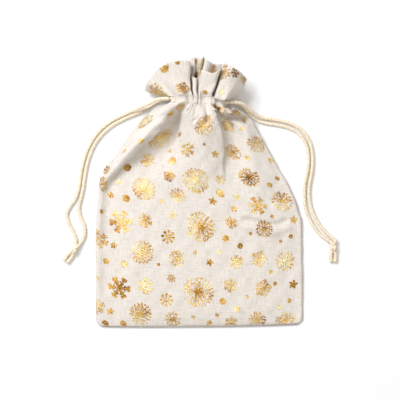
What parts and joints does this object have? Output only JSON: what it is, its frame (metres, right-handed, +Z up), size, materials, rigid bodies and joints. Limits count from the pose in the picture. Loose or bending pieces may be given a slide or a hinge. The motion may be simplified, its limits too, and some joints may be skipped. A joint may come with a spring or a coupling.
{
  "type": "drawstring gift sack",
  "caption": "Light cloth gift sack with a gathered neck, a frill above it, and two cords that draw the neck closed.",
  "frame": {"origin": "centre of the sack's footprint without its cords, on the surface it lies on", "axes": "+Y along the sack towards its mouth, +X across it, +Z up from the surface it lies on"},
  "size_m": [0.1733, 0.1674, 0.018],
  "materials": {
    "linen_cloth": "plain weave, undyed, matt",
    "cotton_cord": "twisted cotton, cream, matt",
    "sewing_thread": "off-white sewing thread",
    "gold_foil": "thin hot-stamped foil print, crackled by the weave"
  },
  "bodies": {
    "sack": {"back_panel": "linen_cloth", "front_panel": "linen_cloth", "left_side_seam": "linen_cloth", "right_side_seam": "linen_cloth", "bottom_seam": "linen_cloth", "left_exit_tack": "sewing_thread", "right_exit_tack": "sewing_thread", "front_channel": "linen_cloth", "back_channel": "linen_cloth", "front_channel_lower_stitching": "sewing_thread", "front_channel_upper_stitching": "sewing_thread", "back_channel_lower_stitching": "sewing_thread", "back_channel_upper_stitching": "sewing_thread", "back_frill": "linen_cloth"},
    "front_frill": {"front_frill": "linen_cloth"},
    "left_drawstring": {"left_drawstring_loop": "cotton_cord", "left_tail_front": "cotton_cord", "left_tail_back": "cotton_cord", "left_knot": "cotton_cord", "left_cut_end_a": "cotton_cord", "left_cut_end_b": "cotton_cord"},
    "right_drawstring": {"right_drawstring_loop": "cotton_cord", "right_tail_front": "cotton_cord", "right_tail_back": "cotton_cord", "right_knot": "cotton_cord", "right_cut_end_a": "cotton_cord", "right_cut_end_b": "cotton_cord"}
  },
  "joints": [
    {"name": "left_drawstring_pull", "type": "slide", "parent": "sack", "child": "left_drawstring", "axis": [-1, 0, 0], "range_m": [0, 0.003]},
    {"name": "right_drawstring_pull", "type": "slide", "parent": "sack", "child": "right_drawstring", "axis": [1, 0, 0], "range_m": [0, 0.003]},
    {"name": "front_frill_fold", "type": "hinge", "parent": "sack", "child": "front_frill", "pos_m": [0, 0.0624, 0.013], "axis": [1, 0, 0], "range_deg": [0, 60]}
  ]
}
